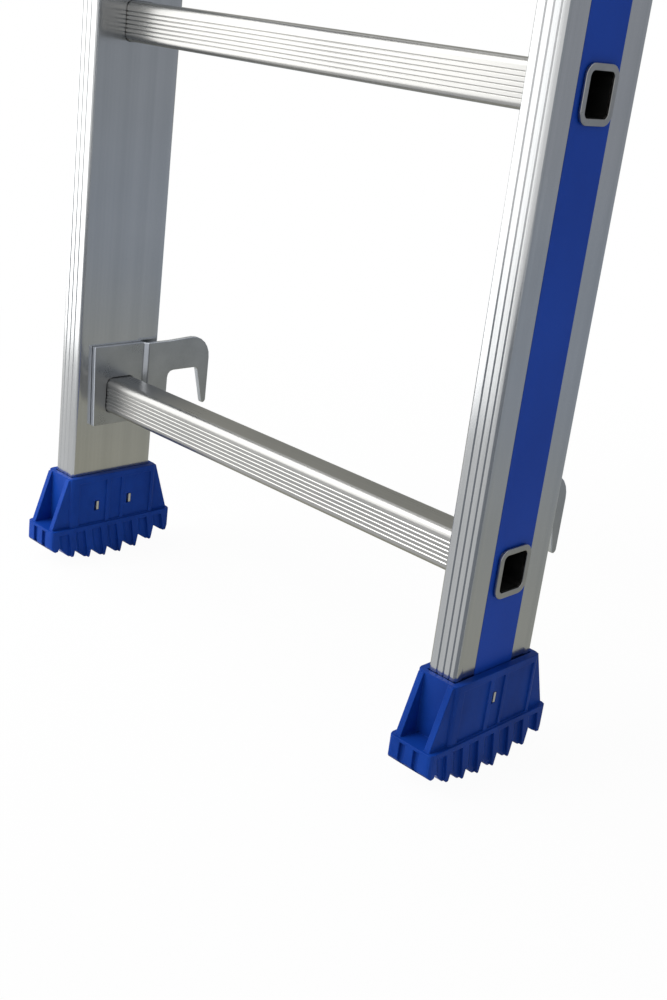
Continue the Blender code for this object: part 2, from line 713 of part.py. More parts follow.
def main():
    for obj in list(bpy.data.objects):
        bpy.data.objects.remove(obj)

    aluminium = make_material("aluminium", (0.52, 0.53, 0.53), 0.42, 1.0)
    bright_aluminium = make_material("bright_aluminium", (0.62, 0.62, 0.60), 0.34, 1.0)
    steel = make_material("zinc_plated_steel", (0.38, 0.39, 0.40), 0.45, 1.0)
    blue_plastic = make_material("blue_plastic", (0.010, 0.035, 0.190), 0.42, 0.0)
    blue_film = make_material("blue_film", (0.010, 0.040, 0.220), 0.35, 0.0)
    black_plastic = make_material("black_plastic", (0.020, 0.020, 0.021), 0.55, 0.0)

    frames = {
        "base": make_frame("base_section", (0.0, 0.0, 0.0)),
        "fly": make_frame("fly_section", (0.0, -SECTION_SPACING, FLY_LIFT)),
    }
    for section, frame in frames.items():
        for number, z in enumerate(rung_heights(), start=1):
            name = f"{section}_rung_{number:02d}"
            make_object(name, make_rung(section), bright_aluminium, frame, (0.0, 0.0, z))
        for side in SIDES:
            x = stile_centre(section, side)
            bottom = STILE_BOTTOM[section]
            stile = make_stile(section, side)
            make_object(f"{section}_stile_{side}", stile, aluminium, frame, (x, 0.0, bottom))
            band = make_band(section, side)
            make_object(f"{section}_band_{side}", band, blue_film, frame, (x, 0.0, band_bottom(section)))
            hook_place = (inner_face(section, side), 0.0, FIRST_RUNG_HEIGHT)
            make_object(f"{section}_hook_{side}", make_hook(side), steel, frame, hook_place)
            cap = make_end_cap(side, upward=True)
            make_object(f"{section}_top_cap_{side}", cap, blue_plastic, frame, (x, 0.0, STILE_TOP))

    for side in SIDES:
        x = stile_centre("base", side)
        make_object(f"base_foot_{side}", make_foot(side), blue_plastic, frames["base"], (x, 0.0, 0.0))
        for number, (sign, y, z) in enumerate(pin_places(), start=1):
            pin = mirrored(pin_shape(sign, 0.0), x=SIDES[side])
            make_object(f"foot_pin_{side}_{number}", pin, steel, frames["base"], (x, y, z))
        guide_place = (inner_face("base", side), -STILE_FRONT, guide_height())
        make_object(f"guide_claw_{side}", make_guide(side), steel, frames["base"], guide_place)
        make_object(f"glide_pad_{side}", make_glide_pad(side), black_plastic, frames["base"], guide_place)

        cap_place = (stile_centre("fly", side), 0.0, STILE_BOTTOM["fly"])
        cap = make_end_cap(side, upward=False)
        make_object(f"fly_bottom_cap_{side}", cap, blue_plastic, frames["fly"], cap_place)
        block_place = (outer_face("fly", side), BASE_FRONT_FROM_FLY, block_height())
        make_object(f"slide_block_{side}", make_slide_block(side), black_plastic, frames["fly"], block_place)
        for number, (y, z) in enumerate(fastener_places("base"), start=1):
            place = (inner_face("base", side), y, z)
            rivet = make_fastener("base", side)
            make_object(f"guide_rivet_{side}_{number}", rivet, steel, frames["base"], place)
        for number, (y, z) in enumerate(fastener_places("fly"), start=1):
            place = (outer_face("fly", side), y, z)
            screw = make_fastener("fly", side)
            make_object(f"block_screw_{side}_{number}", screw, steel, frames["fly"], place)


main()
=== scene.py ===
from math import radians

import bmesh
import bpy
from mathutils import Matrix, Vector


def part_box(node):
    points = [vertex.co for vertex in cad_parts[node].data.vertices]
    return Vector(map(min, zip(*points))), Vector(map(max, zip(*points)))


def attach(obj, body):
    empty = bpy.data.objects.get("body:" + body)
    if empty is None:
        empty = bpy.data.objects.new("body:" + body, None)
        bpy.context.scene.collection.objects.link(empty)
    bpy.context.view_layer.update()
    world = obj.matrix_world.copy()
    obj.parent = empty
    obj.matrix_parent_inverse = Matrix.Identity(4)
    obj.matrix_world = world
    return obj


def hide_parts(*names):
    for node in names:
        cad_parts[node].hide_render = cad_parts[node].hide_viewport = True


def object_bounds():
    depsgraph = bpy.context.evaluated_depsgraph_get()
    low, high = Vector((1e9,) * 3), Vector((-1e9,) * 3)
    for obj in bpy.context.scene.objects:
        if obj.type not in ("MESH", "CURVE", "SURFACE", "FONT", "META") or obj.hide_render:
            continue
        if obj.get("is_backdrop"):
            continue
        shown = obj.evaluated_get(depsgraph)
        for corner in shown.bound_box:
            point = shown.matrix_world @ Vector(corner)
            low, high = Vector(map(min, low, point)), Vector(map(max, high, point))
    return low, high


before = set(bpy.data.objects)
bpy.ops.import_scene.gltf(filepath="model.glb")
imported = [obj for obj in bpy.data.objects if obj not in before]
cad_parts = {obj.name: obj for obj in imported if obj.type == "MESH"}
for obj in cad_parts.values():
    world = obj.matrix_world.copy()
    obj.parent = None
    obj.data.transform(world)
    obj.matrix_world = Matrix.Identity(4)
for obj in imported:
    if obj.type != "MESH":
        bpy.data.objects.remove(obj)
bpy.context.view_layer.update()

sections = ("base", "fly")
sides = ("left", "right")
alongX, alongY, alongZ = 0, 1, 2
print("frame loaded:", len(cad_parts), "solids")


# camera, low and close to the right-hand foot
view = {"place": (0.6297, -0.6328, 0.4458), "turn": (69.588, -6.799, 44.629), "lens": 47.93,
        "sensor": 36, "nearest": 0.01}

bpy.ops.object.camera_add(location=view["place"], rotation=[radians(turn) for turn in view["turn"]])
camera = bpy.context.object
camera.data.lens = view["lens"]
camera.data.sensor_width = view["sensor"]
camera.data.clip_start = view["nearest"]
bpy.context.scene.camera = camera
bpy.context.scene.view_settings.view_transform = "Standard"


# shader maths: a socket that can be added, multiplied and plugged in
class Wire:
    def __init__(self, tree, socket=None):
        self.tree, self.socket = tree, socket

    def plug(self, socket, value):
        if isinstance(value, Wire):
            self.tree.links.new(value.socket, socket)
        elif socket.type == "RGBA":
            socket.default_value = (*value[:3], 1)
        else:
            socket.default_value = value

    def node(self, kind, settings, values, output=0):
        made = self.tree.nodes.new("ShaderNode" + kind)
        for name, value in settings.items():
            if name == "stops":
                ramp = made.color_ramp.elements
                while len(ramp) < len(value):
                    ramp.new(1)
                for stop, (place, level) in zip(ramp, value):
                    stop.position, stop.color = place, (level, level, level, 1)
            else:
                setattr(made, name, value)
        for name, value in values.items():
            self.plug(made.inputs[name], value)
        return Wire(self.tree, made.outputs[output])

    def maths(self, operation, first, second):
        return self.node("Math", {"operation": operation}, {0: first, 1: second})

    def __add__(self, other):
        return self.maths("ADD", self, other)

    def __radd__(self, other):
        return self.maths("ADD", other, self)

    def __sub__(self, other):
        return self.maths("SUBTRACT", self, other)

    def __rsub__(self, other):
        return self.maths("SUBTRACT", other, self)

    def __mul__(self, other):
        return self.maths("MULTIPLY", self, other)

    def __rmul__(self, other):
        return self.maths("MULTIPLY", other, self)

    def colour(self, dark, light):
        return self.node("Mix", {"data_type": "RGBA"}, {0: self, 6: dark, 7: light}, output=2)

    def tint(self, finish, stops):        # stops: the tones that come out fully dark and fully light
        shade = self.node("ValToRGB", {"stops": tuple(zip(stops, (0, 1)))}, {"Fac": self})
        return shade.colour(finish["dark"], finish["light"])

    def place(self):
        return self.node("TexCoord", {}, {}, output="Object")

    def noise(self, stretch, detail):
        spread = self.node("Mapping", {}, {"Vector": self.place(), "Scale": stretch})
        return self.node("TexNoise", {}, {"Vector": spread, "Scale": 1, "Detail": detail})

    def bump(self, strength, depth):
        return self.node("Bump", {}, {"Strength": strength, "Distance": depth, "Height": self})


def newMaterial(name):
    material = bpy.data.materials.new(name)
    material.use_nodes = True
    tree = material.node_tree
    shader = tree.nodes["Principled BSDF"]
    return material, Wire(tree), shader.inputs


# extruded aluminium: die lines along the length, cloudy oxide over them
stileMetal = {"dark": (0.48, 0.49, 0.495), "light": (0.59, 0.595, 0.60), "rough": 0.20,
              "lines": 520, "bump": 0.10}
rungMetal = {"dark": (0.35, 0.35, 0.34), "light": (0.455, 0.45, 0.435), "rough": 0.29,
             "lines": 600, "bump": 0.06}
# inside the tubes: the same marks on near-black metal, painted shade where the bore is dark
boreShadeMetal = {"dark": (0.05, 0.05, 0.05), "light": (0.11, 0.11, 0.105), "rough": 0.42,
             "lines": 400, "bump": 0.08}
dieMarks = {"stretch": 300, "bandWidth": 6, "cloud": 14, "stops": (0.3, 0.7),
            "fineShare": 0.2, "bandShare": 0.45, "cloudShare": 0.35,
            "fineRough": 0.06, "cloudRough": 0.1, "fineBump": 0.4, "bandBump": 0.6, "depth": 0.0003}


def extrudedMetal(name, finish, along):
    material, start, shader = newMaterial(name)
    lines = [finish["lines"]] * 3
    lines[along] = finish["lines"] / dieMarks["stretch"]
    fine = start.noise(lines, 3)
    bands = start.noise([line / dieMarks["bandWidth"] for line in lines], 2)
    cloud = start.noise([dieMarks["cloud"]] * 3, 4)
    tone = dieMarks["fineShare"] * fine + dieMarks["bandShare"] * bands + dieMarks["cloudShare"] * cloud
    uneven = dieMarks["fineRough"] * (fine - 0.5) + dieMarks["cloudRough"] * (cloud - 0.5)
    marks = dieMarks["fineBump"] * fine + dieMarks["bandBump"] * bands
    start.plug(shader["Base Color"], tone.tint(finish, dieMarks["stops"]))
    start.plug(shader["Roughness"], finish["rough"] + uneven)
    start.plug(shader["Metallic"], 1)
    start.plug(shader["Normal"], marks.bump(finish["bump"], dieMarks["depth"]))
    return material


stileFinish = extrudedMetal("millAluminium", stileMetal, alongZ)
rungFinish = extrudedMetal("rungAluminium", rungMetal, alongX)
# the bore's finish is painted shade
boreShadeFinish = extrudedMetal("boreShade", boreShadeMetal, alongX)


# plated steel: fine mottling, cloudy sheen
plateMetal = {"dark": (0.33, 0.34, 0.35), "light": (0.47, 0.48, 0.49), "rough": 0.30}
pinMetal = {"dark": (0.62, 0.62, 0.60), "light": (0.80, 0.80, 0.78), "rough": 0.34}
# hook edges and bend: lighter than the faces, partly bare sheared steel, partly painted highlight
shearedHighlightMetal = {"dark": (0.62, 0.65, 0.70), "light": (0.74, 0.77, 0.82), "rough": 0.36}
plateMarks = {"grain": 1400, "cloud": 45, "stops": (0.3, 0.7), "grainShare": 0.35, "cloudShare": 0.65,
              "grainRough": 0.08, "cloudRough": 0.16, "grainBump": 0.3, "cloudBump": 0.7,
              "bump": 0.10, "depth": 0.0003}


def platedMetal(name, finish):
    material, start, shader = newMaterial(name)
    grain = start.noise([plateMarks["grain"]] * 3, 3)
    cloud = start.noise([plateMarks["cloud"]] * 3, 4)
    tone = plateMarks["grainShare"] * grain + plateMarks["cloudShare"] * cloud
    uneven = plateMarks["cloudRough"] * (cloud - 0.5) + plateMarks["grainRough"] * (grain - 0.5)
    marks = plateMarks["grainBump"] * grain + plateMarks["cloudBump"] * cloud
    start.plug(shader["Base Color"], tone.tint(finish, plateMarks["stops"]))
    start.plug(shader["Roughness"], finish["rough"] + uneven)
    start.plug(shader["Metallic"], 1)
    start.plug(shader["Normal"], marks.bump(plateMarks["bump"], plateMarks["depth"]))
    return material


zincFinish = platedMetal("zincPlate", plateMetal)
pinFinish = platedMetal("pinPlate", pinMetal)
shearedHighlightFinish = platedMetal("shearedEdgeHighlight", shearedHighlightMetal)


# moulded plastics: spark-eroded grain, slight flow marks
bootPlastic = {"dark": (0.004, 0.035, 0.24), "light": (0.008, 0.058, 0.36), "rough": 0.34,
               "shine": 0.07, "grain": 2200}
glidePlastic = {"dark": (0.016, 0.016, 0.017), "light": (0.034, 0.034, 0.035), "rough": 0.48,
                "shine": 0.4, "grain": 1800}
mouldMarks = {"flow": (38, 38, 22), "stops": (0.32, 0.68), "grainShare": 0.25, "flowShare": 0.75,
              "grainRough": 0.12, "flowRough": 0.14, "bump": 0.10, "depth": 0.0002}


def mouldedPlastic(name, finish):
    material, start, shader = newMaterial(name)
    grain = start.noise([finish["grain"]] * 3, 2)
    flow = start.noise(mouldMarks["flow"], 4)
    tone = mouldMarks["grainShare"] * grain + mouldMarks["flowShare"] * flow
    uneven = mouldMarks["flowRough"] * (flow - 0.5) + mouldMarks["grainRough"] * (grain - 0.5)
    start.plug(shader["Base Color"], tone.tint(finish, mouldMarks["stops"]))
    start.plug(shader["Roughness"], finish["rough"] + uneven)
    start.plug(shader["Normal"], grain.bump(mouldMarks["bump"], mouldMarks["depth"]))
    start.plug(shader["Specular IOR Level"], finish["shine"])
    return material


bootFinish = mouldedPlastic("bootPlastic", bootPlastic)
glideFinish = mouldedPlastic("glidePlastic", glidePlastic)


# vinyl film: smooth, a trace of orange peel
vinylFilm = {"dark": (0.008, 0.053, 0.38), "light": (0.011, 0.070, 0.47), "rough": 0.30, "shine": 0.09,
             "peel": 260, "cloud": (14, 14, 6), "stops": (0.3, 0.7), "peelRough": 0.05, "cloudRough": 0.1,
             "bump": 0.05, "depth": 0.0003}


def smoothFilm(name, finish):
    material, start, shader = newMaterial(name)
    peel = start.noise([finish["peel"]] * 3, 2)
    cloud = start.noise(finish["cloud"], 3)
    uneven = finish["cloudRough"] * (cloud - 0.5) + finish["peelRough"] * (peel - 0.5)
    start.plug(shader["Base Color"], cloud.tint(finish, finish["stops"]))
    start.plug(shader["Roughness"], finish["rough"] + uneven)
    start.plug(shader["Normal"], peel.bump(finish["bump"], finish["depth"]))
    start.plug(shader["Specular IOR Level"], finish["shine"])
    return material


filmFinish = smoothFilm("vinylFilm", vinylFilm)
print("finishes made")


# floor and backdrop: pale to the lamps, white to the camera and to reflections
room = {"size": 30, "drop": 0.0004, "floor": (0.84, 0.84, 0.84), "floorLight": (0.88, 0.88, 0.88),
        "floorRough": 0.9, "floorCloud": 3, "world": 0.40,
        "nearWhite": 0.96, "farWhite": 1.0, "nearReach": 0.4, "farReach": 1.0}
white = (1, 1, 1)


def seenStraight(start):
    rays = ("Is Camera Ray", "Is Glossy Ray", "Is Transmission Ray")
    straight, glossy, through = (start.node("LightPath", {}, {}, output=ray) for ray in rays)
    return start.maths("MINIMUM", straight + glossy + through, 1)


def distanceFrom(start, centre):
    return start.node("VectorMath", {"operation": "DISTANCE"}, {0: start.place(), 1: centre}, output="Value")


bpy.ops.mesh.primitive_plane_add(size=room["size"], location=(0, 0, -room["drop"]))
floor = bpy.context.object
floor.name = "floor"
floorFinish, start, shader = newMaterial("paleFloor")
floorCloud = start.noise([room["floorCloud"]] * 3, 2)
start.plug(shader["Base Color"], floorCloud.colour(room["floor"], room["floorLight"]))
start.plug(shader["Roughness"], room["floorRough"])
share = start.node("MapRange", {}, {"Value": distanceFrom(start, (0, 0, 0)),
                                    "From Min": room["nearReach"], "From Max": room["farReach"],
                                    "To Min": room["nearWhite"], "To Max": room["farWhite"]})
glow = start.node("Emission", {}, {"Color": white, "Strength": 1})
plain = Wire(start.tree, start.tree.nodes["Principled BSDF"].outputs[0])
floorMix = start.node("MixShader", {}, {0: share * seenStraight(start), 1: plain, 2: glow})
start.plug(start.tree.nodes["Material Output"].inputs["Surface"], floorMix)
floor.data.materials.append(floorFinish)
floor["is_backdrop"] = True

world = bpy.data.worlds.new("studio")
bpy.context.scene.world = world
world.use_nodes = True
world.cycles.sampling_method = "NONE"        # so that the cards hide it from reflections
start = Wire(world.node_tree)
soft = start.node("Background", {}, {"Color": white, "Strength": room["world"]})
backdrop = start.node("Background", {}, {"Color": white, "Strength": 1})
worldMix = start.node("MixShader", {}, {0: seenStraight(start), 1: soft, 2: backdrop})
start.plug(world.node_tree.nodes["World Output"].inputs["Surface"], worldMix)


# cards that glow at set tones, fading from near to far, seen only in reflections: painted reflections, three
# on the floor, two behind and one on the right
cards = {
    "mat": {"place": (0.6, 1.46, 0.003), "size": (4.6, 3.0), "turn": (0, 0, 0),
            "near": (0.43, 0.42, 0.345), "far": (0.35, 0.385, 0.44), "from": 0.1, "to": 1.0},
    "frontMat": {"place": (-0.72, -0.72, 0.002), "size": (1.74, 1.34), "turn": (0, 0, 0),
                 "centre": (0.25, -0.65, 0),
                 "near": (0.74, 0.75, 0.76), "far": (0.90, 0.90, 0.89), "from": 0.6, "to": 1.2},
    "shade": {"place": (0.95, -0.75, 0.0015), "size": (1.6, 1.4), "turn": (0, 0, 0),
              "near": (0.26, 0.28, 0.31), "far": (0.20, 0.22, 0.25), "from": 0.2, "to": 1.2},
    "backLeft": {"place": (-2.3, 2.2, 1.8), "size": (4.6, 3.4), "turn": (90, 0, 0),
                 "near": (0.38, 0.38, 0.35), "far": (0.38, 0.38, 0.35), "from": 0, "to": 1},
    "backRight": {"place": (1.6, 2.2, 1.8), "size": (3.2, 3.4), "turn": (90, 0, 0),
                  "near": (0.37, 0.39, 0.43), "far": (0.37, 0.39, 0.43), "from": 0, "to": 1},
    "right": {"place": (2.4, 1.4, 1.6), "size": (6.0, 3.2), "turn": (90, 0, 90),
              "near": (0.35, 0.375, 0.41), "far": (0.35, 0.375, 0.41), "from": 0, "to": 1},
}


def addCard(name, card):
    turn = [radians(angle) for angle in card["turn"]]
    bpy.ops.mesh.primitive_plane_add(size=1, location=card["place"], rotation=turn)
    sheet = bpy.context.object
    sheet.name = name
    sheet.scale = (*card["size"], 1)
    bpy.ops.object.transform_apply()
    material, start, _ = newMaterial(name + "Card")
    away = distanceFrom(start, card.get("centre", (0, 0, 0)))
    fade = start.node("MapRange", {}, {"Value": away, "From Min": card["from"], "From Max": card["to"]})
    # the card's glow is a painted reflection, not a lamp
    glow = start.node("Emission", {}, {"Color": fade.colour(card["near"], card["far"]), "Strength": 1})
    start.plug(start.tree.nodes["Material Output"].inputs["Surface"], glow)
    sheet.data.materials.append(material)
    sheet.visible_camera = sheet.visible_diffuse = sheet.visible_shadow = False
    sheet.visible_transmission = sheet.visible_volume_scatter = False
    sheet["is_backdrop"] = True


for name, card in cards.items():
    addCard(name, card)


# a tall soft box close on the left, and a lamp high up in front
lamps = [
    {"place": (-0.82, -0.17, 1.5), "aim": (-0.25, 0.65, 1.5), "size": (1.5, 2.9), "power": 23},
    {"place": (-1.2, -2.6, 2.8), "aim": (0, 0, 0.4), "size": (1.6, 1.6), "power": 62},
]
for lamp in lamps:
    turn = (Vector(lamp["aim"]) - Vector(lamp["place"])).to_track_quat("-Z", "Y").to_euler()
    bpy.ops.object.light_add(type="AREA", location=lamp["place"], rotation=turn)
    light = bpy.context.object.data
    light.shape, light.energy = "RECTANGLE", lamp["power"]
    light.size, light.size_y = lamp["size"]
    bpy.context.object.visible_camera = False
print("studio made")


# modelling helpers
tolerance = {"place": 0.00002, "doubles": 0.00001, "flat": 1, "smooth": 35, "normalWeight": 90}
facing = {"straight": 0.99, "end": 0.9, "wall": 0.5}        # how far a normal or an edge lies along an axis


def selectNone():
    if bpy.context.object and bpy.context.object.mode == "EDIT":
        bpy.ops.object.mode_set(mode="OBJECT")
    bpy.ops.object.select_all(action="DESELECT")


def onlySelect(*objs):
    selectNone()
    for obj in objs:
        obj.select_set(True)
    bpy.context.view_layer.objects.active = objs[0]


def edit(obj):
    onlySelect(obj)
    bpy.ops.object.mode_set(mode="EDIT")
    bpy.ops.mesh.select_mode(type="FACE")
    bpy.ops.mesh.select_all(action="DESELECT")


def editDone():
    bpy.ops.object.mode_set(mode="OBJECT")


def pickFaces(obj, test):
    bpy.ops.mesh.select_mode(type="FACE")
    bpy.ops.mesh.select_all(action="DESELECT")
    shape = bmesh.from_edit_mesh(obj.data)
    shape.normal_update()
    for face in shape.faces:
        if test(face.calc_center_median(), face.normal):
            face.select_set(True)
    bmesh.update_edit_mesh(obj.data)


def pickEdges(obj, test):
    bpy.ops.mesh.select_mode(type="EDGE")
    bpy.ops.mesh.select_all(action="DESELECT")
    shape = bmesh.from_edit_mesh(obj.data)
    for edge in shape.edges:
        if test(edge.verts[0].co, edge.verts[1].co):
            edge.select_set(True)
    bmesh.update_edit_mesh(obj.data)


def near(first, *others):
    return any(abs(first - other) < tolerance["place"] for other in others)


def addBlock(name, low, high):
    selectNone()
    low, high = Vector(low), Vector(high)
    bpy.ops.mesh.primitive_cube_add(size=1, location=(low + high) / 2, scale=high - low)
    block = bpy.context.object
    block.name = name
    bpy.ops.object.transform_apply()
    return block


def applied(obj, kind, **settings):
    onlySelect(obj)
    modifier = obj.modifiers.new("step", kind)
    for name, value in settings.items():
        setattr(modifier, name, value)
    bpy.ops.object.modifier_apply(modifier=modifier.name)


def copyOf(obj, name, move=(0, 0, 0), flip=False):
    onlySelect(obj)
    bpy.ops.object.duplicate()
    copy = bpy.context.object
    copy.name = name
    if flip:
        bpy.ops.transform.resize(value=(-1, 1, 1), center_override=(0, 0, 0))
    bpy.ops.transform.translate(value=move)
    bpy.ops.object.transform_apply()
    if flip:
        edit(copy)
        bpy.ops.mesh.select_all(action="SELECT")
        bpy.ops.mesh.normals_make_consistent(inside=False)
        editDone()
    return copy


def cutAway(obj, cutter):
    applied(obj, "BOOLEAN", object=cutter, operation="DIFFERENCE", solver="EXACT")
    bpy.data.objects.remove(cutter)


def splitAcross(axis, place):        # splits the selected faces where they cross a plane
    normal = Vector((0, 0, 0))
    normal[axis] = 1
    bpy.ops.mesh.bisect(plane_co=normal * place, plane_no=normal)


def soften(obj, width, segments, angle=30, clamp=True):
    applied(obj, "BEVEL", width=width, segments=segments, limit_method="ANGLE",
            angle_limit=radians(angle), use_clamp_overlap=clamp)


def smoothed(obj):
    onlySelect(obj)
    bpy.ops.object.shade_smooth_by_angle(angle=radians(tolerance["smooth"]))
    applied(obj, "WEIGHTED_NORMAL", weight=tolerance["normalWeight"], keep_sharp=True)


def roundLongEdges(obj, axis, radius, segments):
    edit(obj)
    pickEdges(obj, lambda one, two: abs((one - two).normalized()[axis]) > facing["straight"])
    bpy.ops.mesh.bevel(offset=radius, segments=segments, affect="EDGES")
    editDone()


def hollowOut(obj, axis, wall):
    edit(obj)
    pickFaces(obj, lambda middle, normal: abs(normal[axis]) > facing["end"])
    bpy.ops.mesh.inset(thickness=wall)
    bpy.ops.mesh.bridge_edge_loops()
    editDone()


def addGrooves(obj, axis, sign, across, places, size, inset=0, reach=None):
    # V grooves in a flat that lies inset from the outermost one, no further than reach from the middle
    edit(obj)
    surface = (max(vert.co[axis] * sign for vert in obj.data.vertices) - inset) * sign

    def onSurface(middle, normal):
        inReach = reach is None or abs(middle.x) < reach
        return normal[axis] * sign > facing["straight"] and near(middle[axis], surface) and inReach

    for place in places:
        for offset in (-0.5, 0, 0.5):
            pickFaces(obj, onSurface)
            splitAcross(across, place + offset * size["grooveWidth"])
    pickEdges(obj, lambda one, two: all(
        near(end[axis], surface) and near(end[across], *places) for end in (one, two)))
    push = Vector((0, 0, 0))
    push[axis] = -sign * size["grooveDepth"]
    bpy.ops.transform.translate(value=push)
    editDone()


def addFinishes(obj, first, second, test):        # the second goes on the faces that pass the test
    obj.data.materials.clear()
    for material in (first, second):
        obj.data.materials.append(material)
    for face in obj.data.polygons:
        face.material_index = int(test(face.center, face.normal))


def finish(obj, body, slot, material, node):
    if material:
        obj.data.materials.clear()
        obj.data.materials.append(material)
    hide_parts(node)
    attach(obj, body)


# rungs: rounded box tubes with a grooved front, flared outside the stiles; the inside of each tube is
# painted near-black as shade
rung = {"count": 8, "wall": 0.0016, "corner": 0.0050, "cornerSegments": 6,
        "lipReach": 0.0023, "lipDepth": 0.0018, "lipRound": 0.0013, "lipSegments": 4,
        "soften": 0.0004, "segments": 2, "softenAngle": 50,
        "grooves": 7, "firstGroove": 0.0074, "groovePitch": 0.0029,
        "grooveWidth": 0.0011, "grooveDepth": 0.0004}


def rungBox(section):        # the first rung, without its lip
    low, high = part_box(f"{section}_rung_01")
    lip = Vector((0, rung["lipReach"], rung["lipReach"]))
    return low + lip, high - lip


def rungRises(section):        # the other rungs' numbers, with their heights above the first
    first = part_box(f"{section}_rung_01")[0].z
    for number in range(2, rung["count"] + 1):
        yield number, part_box(f"{section}_rung_{number:02d}")[0].z - first


def makeRung(section):
    low, high = rungBox(section)
    middle = (low + high) / 2
    inner = high.x - rung["lipDepth"]

    def facesOut(place, normal):
        return (place - middle).y * normal.y + (place - middle).z * normal.z > 0

    def isLip(place, normal):
        return abs(place.x) > inner and abs(normal.x) < facing["wall"] and facesOut(place, normal)

    def isBore(place, normal):
        return abs(place.x) < inner and abs(normal.x) < facing["wall"] and not facesOut(place, normal)

    tube = addBlock(f"{section}Rung1", low, high)
    roundLongEdges(tube, alongX, rung["corner"], rung["cornerSegments"])
    hollowOut(tube, alongX, rung["wall"])
    edit(tube)
    for place in (-inner, inner):
        bpy.ops.mesh.select_all(action="SELECT")
        splitAcross(alongX, place)
    pickFaces(tube, isLip)
    bpy.ops.mesh.extrude_region_shrink_fatten(
        TRANSFORM_OT_shrink_fatten={"value": rung["lipReach"], "use_even_offset": True})
    pickEdges(tube, lambda one, two: near(abs(one.x), high.x) and near(abs(two.x), high.x))
    bpy.ops.mesh.bevel(offset=rung["lipRound"], segments=rung["lipSegments"], affect="EDGES",
                       clamp_overlap=True)
    editDone()
    soften(tube, rung["soften"], rung["segments"], rung["softenAngle"])
    first = high.z - rung["firstGroove"]
    places = [first - number * rung["groovePitch"] for number in range(rung["grooves"])]
    addGrooves(tube, alongY, -1, alongZ, places, rung, inset=rung["lipReach"], reach=inner)
    smoothed(tube)
    # the faces inside the tube take the near-black painted shade
    addFinishes(tube, rungFinish, boreShadeFinish, isBore)
    return tube


for section in sections:
    first = makeRung(section)
    for number, rise in rungRises(section):
        copy = copyOf(first, f"{section}Rung{number}", (0, 0, rise))
        finish(copy, section, "bright_aluminium", None, f"{section}_rung_{number:02d}")
    finish(first, section, "bright_aluminium", None, f"{section}_rung_01")
print("rungs made")


# stiles: box extrusions, grooved front and back flanges, a sunk web on the outside
stile = {"wall": 0.0016, "corner": 0.0025, "cornerSegments": 5, "bead": 0.0055, "sink": 0.0007,
         "step": 0.0022, "windowGap": 0.0003, "windowReach": 0.01,
         "flangeGrooves": (-0.0041, 0.0010, 0.0058), "grooveWidth": 0.0013, "grooveDepth": 0.0006}


def rungCutter(section, start, end, grow, corner):        # rounded blocks at the rungs' places
    low, high = rungBox(section)
    first = addBlock("window", (start - stile["windowReach"], low.y - grow, low.z - grow),
                     (end + stile["windowReach"], high.y + grow, high.z + grow))
    roundLongEdges(first, alongX, corner, rung["cornerSegments"])
    others = [copyOf(first, "window", (0, 0, rise)) for number, rise in rungRises(section)]
    onlySelect(first, *others)
    bpy.ops.object.join()
    return bpy.context.object


def makeStile(section):
    low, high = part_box(f"{section}_stile_right")
    tube = addBlock(f"{section}StileRight", low, high)
    middle = (low + high) / 2
    edge = (high.y - low.y) / 2 - stile["bead"]
    edit(tube)
    for place in (-edge, stile["step"] - edge, edge - stile["step"], edge):
        bpy.ops.mesh.select_all(action="SELECT")
        splitAcross(alongY, middle.y + place)
    pickFaces(tube, lambda place, normal: normal.x > facing["end"]
              and abs(place.y - middle.y) < edge - stile["step"])
    bpy.ops.transform.translate(value=(-stile["sink"], 0, 0))
    pickEdges(tube, lambda one, two: near(one.x, two.x) and near(one.y, two.y)
              and near(one.x, low.x, high.x) and near(one.y, low.y, high.y))
    bpy.ops.mesh.bevel(offset=stile["corner"], segments=stile["cornerSegments"], affect="EDGES")
    editDone()
    hollowOut(tube, alongZ, stile["wall"])
    cutAway(tube, rungCutter(section, low.x, high.x, stile["windowGap"], rung["corner"]))
    places = [middle.x + offset for offset in stile["flangeGrooves"]]
    for sign in (-1, 1):
        addGrooves(tube, alongY, sign, alongX, places, stile)
    smoothed(tube)
    return tube


for section in sections:
    right = makeStile(section)
    left = copyOf(right, f"{section}StileLeft", flip=True)
    finish(left, section, "aluminium", stileFinish, f"{section}_stile_left")
    finish(right, section, "aluminium", stileFinish, f"{section}_stile_right")
print("stiles made")


# bands: thin film on the webs, with an opening round each rung
band = {"thickness": 0.0002, "windowMargin": 0.0008, "windowCorner": 0.004}

for section in sections:
    low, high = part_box(f"{section}_band_right")
    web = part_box(f"{section}_stile_right")[1].x - stile["sink"]
    low.x, high.x = web - band["thickness"], web + band["thickness"]
    right = addBlock(f"{section}BandRight", low, high)
    cutAway(right, rungCutter(section, low.x, high.x, band["windowMargin"], band["windowCorner"]))
    smoothed(right)
    left = copyOf(right, f"{section}BandLeft", flip=True)
    finish(left, section, "blue_film", filmFinish, f"{section}_band_left")
    finish(right, section, "blue_film", filmFinish, f"{section}_band_right")
print("bands made")


# pressed, moulded and turned parts: softened copies of their solids
def mergedCopy(node, name):
    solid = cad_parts[node]
    copy = bpy.data.objects.new(name, solid.data.copy())
    bpy.context.scene.collection.objects.link(copy)
    edit(copy)
    bpy.ops.mesh.select_all(action="SELECT")
    bpy.ops.mesh.customdata_custom_splitnormals_clear()
    bpy.ops.mesh.remove_doubles(threshold=tolerance["doubles"])
    bpy.ops.mesh.dissolve_limited(angle_limit=radians(tolerance["flat"]))
    editDone()
    return copy


def softCopy(node, name, size):
    copy = mergedCopy(node, name)
    soften(copy, size["soften"], size["segments"])
    smoothed(copy)
    return copy


# feet: rounded teeth, and a slot beside each pin; only edges this low and this long are a tooth's
foot = {"soften": 0.0004, "segments": 3, "toothRound": 0.0009, "toothSegments": 3,
        "teethBelow": 0.019, "toothLength": 0.012,
        "pins": 3, "slotWidth": 0.0022, "slotHeight": 0.0084, "slotDepth": 0.0034}


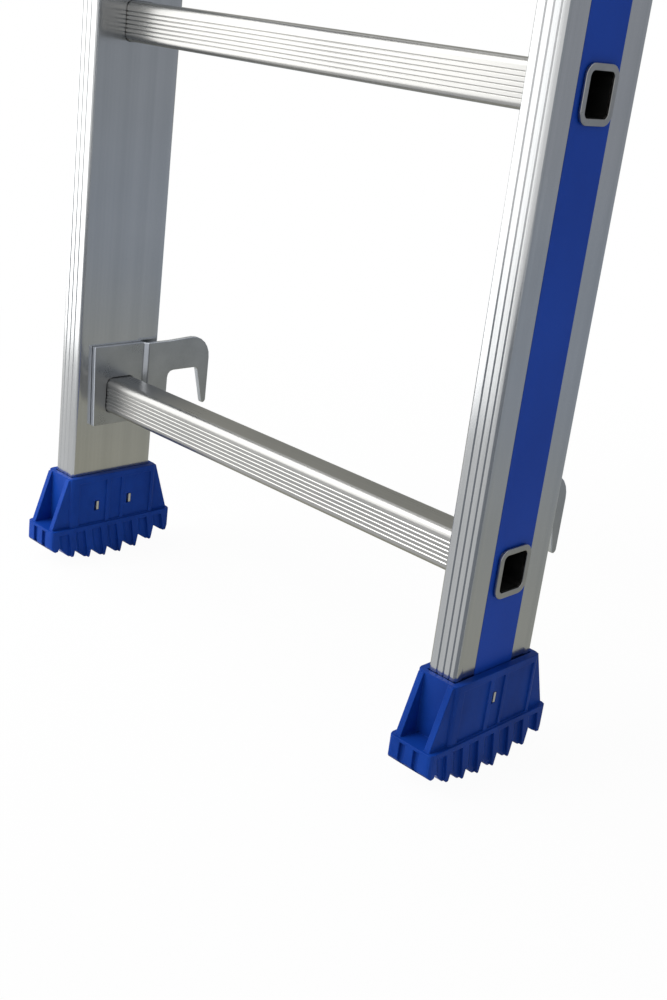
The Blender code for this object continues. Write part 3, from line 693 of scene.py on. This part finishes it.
def cutSlot(body, pin, outward):        # into the wall just in front of the pin's outer end
    low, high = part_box(pin)
    face = high.x if outward > 0 else low.x
    middle = (low.z + high.z) / 2
    start = (face - foot["slotDepth"], low.y - foot["slotWidth"], middle - foot["slotHeight"] / 2)
    end = (face + foot["slotDepth"], low.y, middle + foot["slotHeight"] / 2)
    cutAway(body, addBlock("cutter", start, end))


def makeFoot(side):
    node = f"base_foot_{side}"
    low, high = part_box(node)
    body = mergedCopy(node, f"foot{side.title()}")
    edit(body)
    pickEdges(body, lambda one, two: max(one.z, two.z) < foot["teethBelow"]
              and abs((one - two).x) > foot["toothLength"])
    bpy.ops.mesh.bevel(offset=foot["toothRound"], segments=foot["toothSegments"], affect="EDGES")
    editDone()
    soften(body, foot["soften"], foot["segments"], clamp=False)
    for number in range(1, foot["pins"] + 1):
        pin = f"foot_pin_{side}_{number}"
        cutSlot(body, pin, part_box(pin)[0].x - (low.x + high.x) / 2)
    smoothed(body)
    return body


for side in sides:
    finish(makeFoot(side), "base", "blue_plastic", bootFinish, f"base_foot_{side}")
print("feet made")


# hooks: rolled faces, with the edges and the bend painted lighter, partly bare sheared steel and partly
# painted highlight
hook = {"soften": 0.0008, "segments": 3, "edgeFacing": 0.75}

for section in sections:
    for side in sides:
        node = f"{section}_hook_{side}"
        bent = softCopy(node, f"{section}Hook{side.title()}", hook)
        # faces that do not face sideways get the lighter finish: painted highlight on the edges and the bend
        addFinishes(bent, zincFinish, shearedHighlightFinish,
                    lambda place, normal: abs(normal.x) < hook["edgeFacing"])
        finish(bent, section, "zinc_plated_steel", None, node)
print("hooks made")


# caps, guides and fastenings
cap = {"soften": 0.0008, "segments": 3}
claw = {"soften": 0.0008, "segments": 3}
glidePad = {"soften": 0.0006, "segments": 2}
slideBlock = {"soften": 0.0008, "segments": 2}
fastening = {"soften": 0.0003, "segments": 2, "count": 2}


def fit(node, body, size, slot, material):
    finish(softCopy(node, node + "Soft", size), body, slot, material, node)


for section in sections:
    for side in sides:
        fit(f"{section}_top_cap_{side}", section, cap, "blue_plastic", bootFinish)
for side in sides:
    fit(f"fly_bottom_cap_{side}", "fly", cap, "blue_plastic", bootFinish)
    fit(f"guide_claw_{side}", "base", claw, "zinc_plated_steel", zincFinish)
    fit(f"glide_pad_{side}", "base", glidePad, "black_plastic", glideFinish)
    fit(f"slide_block_{side}", "fly", slideBlock, "black_plastic", glideFinish)
    for number in range(1, foot["pins"] + 1):
        fit(f"foot_pin_{side}_{number}", "base", fastening, "zinc_plated_steel", pinFinish)
    for number in range(1, fastening["count"] + 1):
        fit(f"guide_rivet_{side}_{number}", "base", fastening, "zinc_plated_steel", pinFinish)
        fit(f"block_screw_{side}_{number}", "fly", fastening, "zinc_plated_steel", pinFinish)
print("fittings made")


low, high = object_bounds()
